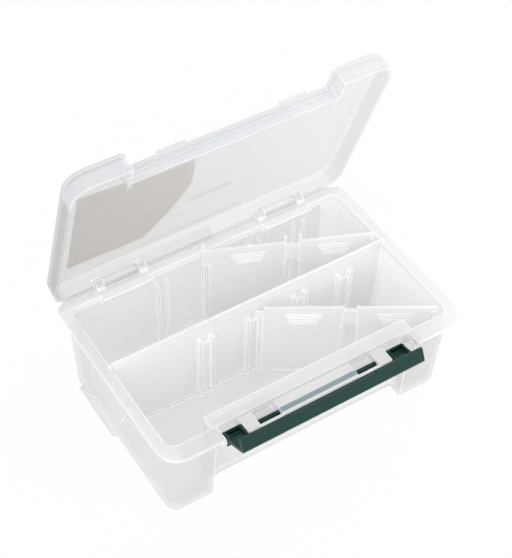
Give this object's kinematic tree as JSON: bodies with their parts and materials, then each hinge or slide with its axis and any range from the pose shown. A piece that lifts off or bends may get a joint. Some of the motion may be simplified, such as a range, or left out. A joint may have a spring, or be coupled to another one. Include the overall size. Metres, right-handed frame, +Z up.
{
  "type": "fly box",
  "caption": "Clear hinged box with a fixed long divider, two loose diagonal partitions, a lid with a bare label and a green front latch.",
  "frame": {"origin": "centre of the tray's flat base, on the underside", "axes": "+Z up, -Y towards the latch side, +X towards the right end seen from the latch side"},
  "size_m": [0.205, 0.1579, 0.1959],
  "materials": {
    "clear_tray": "clear, slightly frosted",
    "clear_lid": "clear, slightly frosted",
    "clear_partition": "clear",
    "green_latch": "satin",
    "label_paper": "bare paper film"
  },
  "bodies": {
    "tray": {"tray": "clear_tray"},
    "lid": {"lid": "clear_lid", "lid_label": "label_paper"},
    "latch": {"latch": "green_latch"},
    "partition_rear": {"partition_rear_row": "clear_partition"},
    "partition_front": {"partition_front_row": "clear_partition"}
  },
  "joints": [
    {"name": "lid_hinge", "type": "hinge", "parent": "tray", "child": "lid", "pos_m": [0, 0.0665, 0.0655], "axis": [1, 0, 0], "range_deg": [-28, 71]},
    {"name": "latch_hinge", "type": "hinge", "parent": "tray", "child": "latch", "pos_m": [0, -0.062, 0.053], "axis": [-1, 0, 0], "range_deg": [-80, 63.2]},
    {"name": "rear_partition_lift", "type": "slide", "parent": "tray", "child": "partition_rear", "axis": [0, 0, 1], "range_m": [0, 0.003]},
    {"name": "front_partition_lift", "type": "slide", "parent": "tray", "child": "partition_front", "axis": [0, 0, 1], "range_m": [0, 0.003]}
  ]
}
